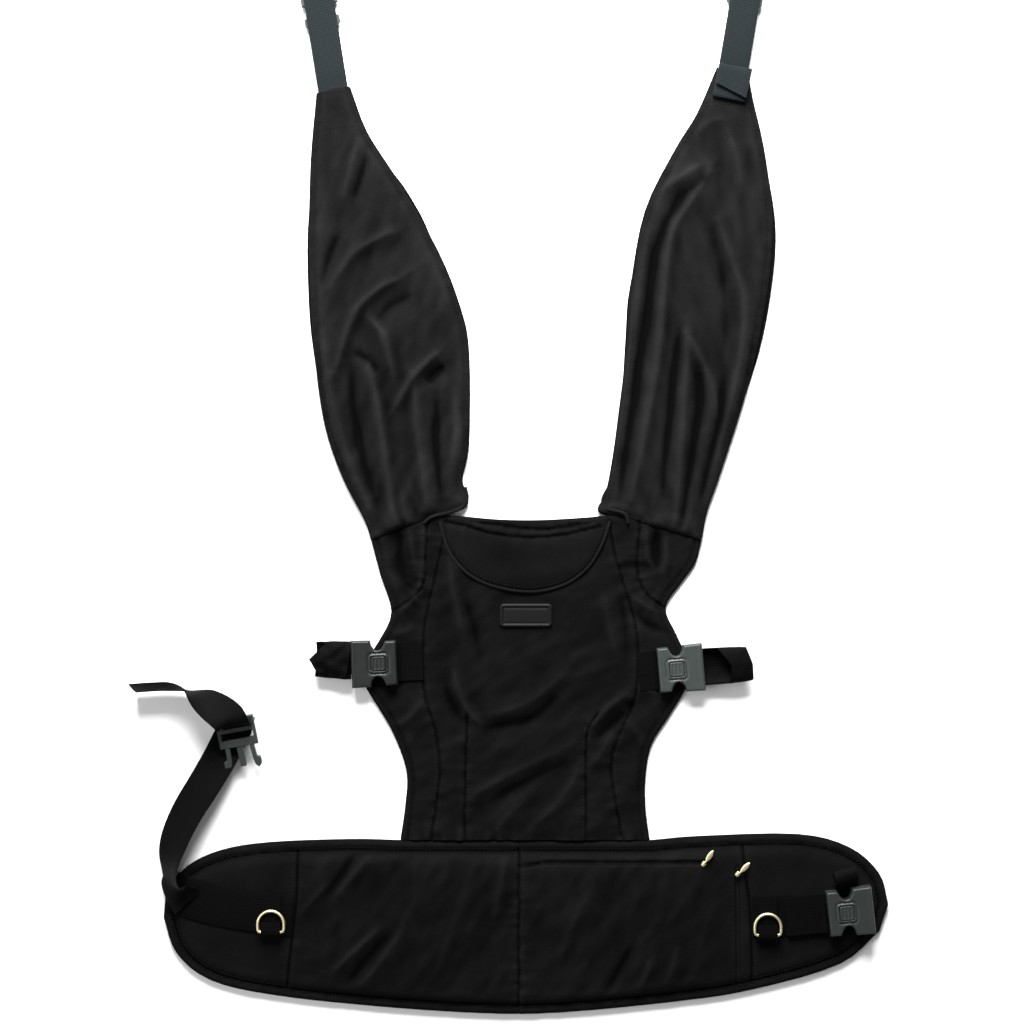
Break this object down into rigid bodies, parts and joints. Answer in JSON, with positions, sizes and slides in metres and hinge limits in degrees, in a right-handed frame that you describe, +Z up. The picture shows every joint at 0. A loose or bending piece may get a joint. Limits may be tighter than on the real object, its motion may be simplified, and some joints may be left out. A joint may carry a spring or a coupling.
{
  "type": "soft baby carrier",
  "caption": "Soft baby carrier laid flat: padded waist belt with zip pocket, shaped front panel with neck flap, padded shoulder straps, webbing and side-release buckles.",
  "frame": {"origin": "centre of the waist belt's underside, on the surface that the carrier lies on", "axes": "+Y up the front panel towards the shoulder straps, +X towards the belt's pocket end, +Z up, out of the face that looks away from the wearer"},
  "size_m": [0.753, 1.0667, 0.0365],
  "materials": {
    "black_fabric": "matte woven",
    "lining": "matte knit",
    "foam": "matte foam padding",
    "webbing": "ribbed polyester webbing",
    "plastic": "moulded satin",
    "gold": "pale gold plated",
    "patch": "matte moulded"
  },
  "bodies": {
    "waist_belt": {"belt_lining": "lining", "belt_foam": "foam", "belt_cover_left": "black_fabric", "belt_pocket_front": "black_fabric", "belt_pocket_band": "black_fabric", "pocket_zip_tape": "lining", "side_zip_tape": "lining"},
    "pocket_slider": {"pocket_zip_slider": "gold"},
    "pocket_pull": {"pocket_zip_pull": "gold"},
    "side_slider": {"side_zip_slider": "gold"},
    "side_pull": {"side_zip_pull": "gold"},
    "left_wing": {"wing_foam_left": "foam", "wing_cover_left": "black_fabric", "ring_tab_left": "webbing", "belt_webbing_left": "webbing", "belt_strap_free": "webbing", "belt_male_frame": "plastic"},
    "belt_male_prong_a": {"belt_male_prong_a": "plastic"},
    "belt_male_prong_b": {"belt_male_prong_b": "plastic"},
    "left_ring": {"d_ring_left": "gold"},
    "right_wing": {"wing_foam_right": "foam", "wing_cover_right": "black_fabric", "ring_tab_right": "webbing", "belt_webbing_right_sewn": "webbing", "safety_loop_belt": "webbing"},
    "right_ring": {"d_ring_right": "gold"},
    "right_belt_buckle": {"belt_webbing_right": "webbing", "belt_buckle_right": "plastic"},
    "belt_button": {"belt_buckle_right_button": "plastic"},
    "panel": {"panel_lining": "lining", "panel_padding": "foam", "panel_centre": "black_fabric", "panel_side_left": "black_fabric", "panel_side_right": "black_fabric", "upper_wing_left": "black_fabric", "upper_wing_right": "black_fabric", "blank_patch": "patch"},
    "neck_flap": {"neck_flap": "black_fabric"},
    "left_strap": {"strap_padding_left": "foam", "strap_cover_left": "black_fabric"},
    "right_strap": {"strap_padding_right": "foam", "strap_cover_right": "black_fabric", "webbing_roll_right": "webbing"},
    "left_side_buckle": {"side_webbing_left": "webbing", "side_buckle_left": "plastic", "safety_loop_left": "webbing"},
    "left_button": {"side_buckle_left_button": "plastic"},
    "left_shoulder_webbing": {"shoulder_webbing_left": "webbing", "shoulder_male_left_frame": "plastic"},
    "shoulder_left_prong_a": {"shoulder_male_left_prong_a": "plastic"},
    "shoulder_left_prong_b": {"shoulder_male_left_prong_b": "plastic"},
    "right_side_buckle": {"side_webbing_right": "webbing", "side_buckle_right": "plastic", "safety_loop_right": "webbing"},
    "right_button": {"side_buckle_right_button": "plastic"},
    "right_shoulder_webbing": {"shoulder_webbing_right": "webbing", "shoulder_male_right_frame": "plastic"},
    "shoulder_right_prong_a": {"shoulder_male_right_prong_a": "plastic"},
    "shoulder_right_prong_b": {"shoulder_male_right_prong_b": "plastic"}
  },
  "joints": [
    {"name": "panel_fold", "type": "hinge", "parent": "waist_belt", "child": "panel", "pos_m": [0, 0.0843, 0.0115], "axis": [1, 0, 0], "range_deg": [0, 100]},
    {"name": "left_wing_fold", "type": "hinge", "parent": "waist_belt", "child": "left_wing", "pos_m": [-0.232, 0, 0.0115], "axis": [0, 1, 0], "range_deg": [0, 90]},
    {"name": "right_wing_fold", "type": "hinge", "parent": "waist_belt", "child": "right_wing", "pos_m": [0.224, 0, 0.0115], "axis": [0, -1, 0], "range_deg": [0, 90]},
    {"name": "left_strap_fold", "type": "hinge", "parent": "panel", "child": "left_strap", "pos_m": [-0.154, 0.384, 0.011], "axis": [0.9417, 0.3363, 0], "range_deg": [0, 90]},
    {"name": "right_strap_fold", "type": "hinge", "parent": "panel", "child": "right_strap", "pos_m": [0.177, 0.384, 0.011], "axis": [0.9603, -0.2788, 0], "range_deg": [0, 90]},
    {"name": "neck_flap_fold", "type": "hinge", "parent": "panel", "child": "neck_flap", "pos_m": [0, 0.404, 0.00665], "axis": [-1, 0, 0], "range_deg": [0, 90]},
    {"name": "left_buckle_fold", "type": "hinge", "parent": "panel", "child": "left_side_buckle", "pos_m": [-0.102, 0.262, 0.0084], "axis": [0, 1, 0], "range_deg": [0, 135]},
    {"name": "right_buckle_fold", "type": "hinge", "parent": "panel", "child": "right_side_buckle", "pos_m": [0.113, 0.257, 0.0084], "axis": [0, -1, 0], "range_deg": [0, 135]},
    {"name": "right_belt_buckle_fold", "type": "hinge", "parent": "right_wing", "child": "right_belt_buckle", "pos_m": [0.259, 0.016, 0.0154], "axis": [0, -1, 0], "range_deg": [0, 90]},
    {"name": "left_webbing_fold", "type": "hinge", "parent": "left_strap", "child": "left_shoulder_webbing", "pos_m": [-0.192, 0.836, 0.011], "axis": [0.9877, 0.1564, 0], "range_deg": [0, 90]},
    {"name": "right_webbing_fold", "type": "hinge", "parent": "right_strap", "child": "right_shoulder_webbing", "pos_m": [0.2085, 0.8565, 0.011], "axis": [0.9863, -0.165, 0], "range_deg": [0, 90]},
    {"name": "left_ring_swing", "type": "hinge", "parent": "left_wing", "child": "left_ring", "pos_m": [-0.253, -0.005, 0.0174], "axis": [1, 0, 0], "range_deg": [0, 170]},
    {"name": "right_ring_swing", "type": "hinge", "parent": "right_wing", "child": "right_ring", "pos_m": [0.2415, -0.008, 0.0174], "axis": [1, 0, 0], "range_deg": [0, 170]},
    {"name": "pocket_zip_slide", "type": "slide", "parent": "waist_belt", "child": "pocket_slider", "axis": [-1, 0, 0], "range_m": [0, 0.172]},
    {"name": "side_zip_slide", "type": "slide", "parent": "waist_belt", "child": "side_slider", "axis": [0, -1, 0], "range_m": [0, 0.104]},
    {"name": "pocket_pull_swing", "type": "hinge", "parent": "pocket_slider", "child": "pocket_pull", "pos_m": [0.178, 0.062, 0.0164], "axis": [0.829, -0.5592, 0], "range_deg": [0, 140]},
    {"name": "side_pull_swing", "type": "hinge", "parent": "side_slider", "child": "side_pull", "pos_m": [0.212, 0.052, 0.0164], "axis": [0.7071, -0.7071, 0], "range_deg": [0, 140]},
    {"name": "left_button_press", "type": "slide", "parent": "left_side_buckle", "child": "left_button", "axis": [0, 0, -1], "range_m": [0, 0.0012], "stiffness_N_per_m": 400},
    {"name": "right_button_press", "type": "slide", "parent": "right_side_buckle", "child": "right_button", "axis": [0, 0, -1], "range_m": [0, 0.0012], "stiffness_N_per_m": 400},
    {"name": "belt_button_press", "type": "slide", "parent": "right_belt_buckle", "child": "belt_button", "axis": [0, 0, -1], "range_m": [0, 0.0012], "stiffness_N_per_m": 400},
    {"name": "shoulder_left_prong_a_flex", "type": "hinge", "parent": "left_shoulder_webbing", "child": "shoulder_left_prong_a", "pos_m": [-0.19386, 0.92263, 0.0054], "axis": [0, 0, -1], "range_deg": [0, 6], "stiffness_Nm_per_rad": 0.6},
    {"name": "shoulder_left_prong_b_flex", "type": "hinge", "parent": "left_shoulder_webbing", "child": "shoulder_left_prong_b", "pos_m": [-0.217, 0.91897, 0.0054], "axis": [0, 0, 1], "range_deg": [0, 6], "stiffness_Nm_per_rad": 0.6},
    {"name": "shoulder_right_prong_a_flex", "type": "hinge", "parent": "right_shoulder_webbing", "child": "shoulder_right_prong_a", "pos_m": [0.23422, 0.93924, 0.0054], "axis": [0, 0, -1], "range_deg": [0, 6], "stiffness_Nm_per_rad": 0.6},
    {"name": "shoulder_right_prong_b_flex", "type": "hinge", "parent": "right_shoulder_webbing", "child": "shoulder_right_prong_b", "pos_m": [0.21112, 0.94311, 0.0054], "axis": [0, 0, 1], "range_deg": [0, 6], "stiffness_Nm_per_rad": 0.6},
    {"name": "belt_male_prong_a_flex", "type": "hinge", "parent": "left_wing", "child": "belt_male_prong_a", "pos_m": [-0.27189, 0.18198, 0.0162], "axis": [-0.0357, 0.1997, -0.9792], "range_deg": [0, 6], "stiffness_Nm_per_rad": 0.6},
    {"name": "belt_male_prong_b_flex", "type": "hinge", "parent": "left_wing", "child": "belt_male_prong_b", "pos_m": [-0.2959, 0.17768, 0.0162], "axis": [0.0357, -0.1997, 0.9792], "range_deg": [0, 6], "stiffness_Nm_per_rad": 0.6}
  ],
  "couplings": [
    {"joint": "shoulder_left_prong_b_flex", "follows": "shoulder_left_prong_a_flex", "ratio": 1},
    {"joint": "shoulder_right_prong_b_flex", "follows": "shoulder_right_prong_a_flex", "ratio": 1},
    {"joint": "belt_male_prong_b_flex", "follows": "belt_male_prong_a_flex", "ratio": 1}
  ]
}
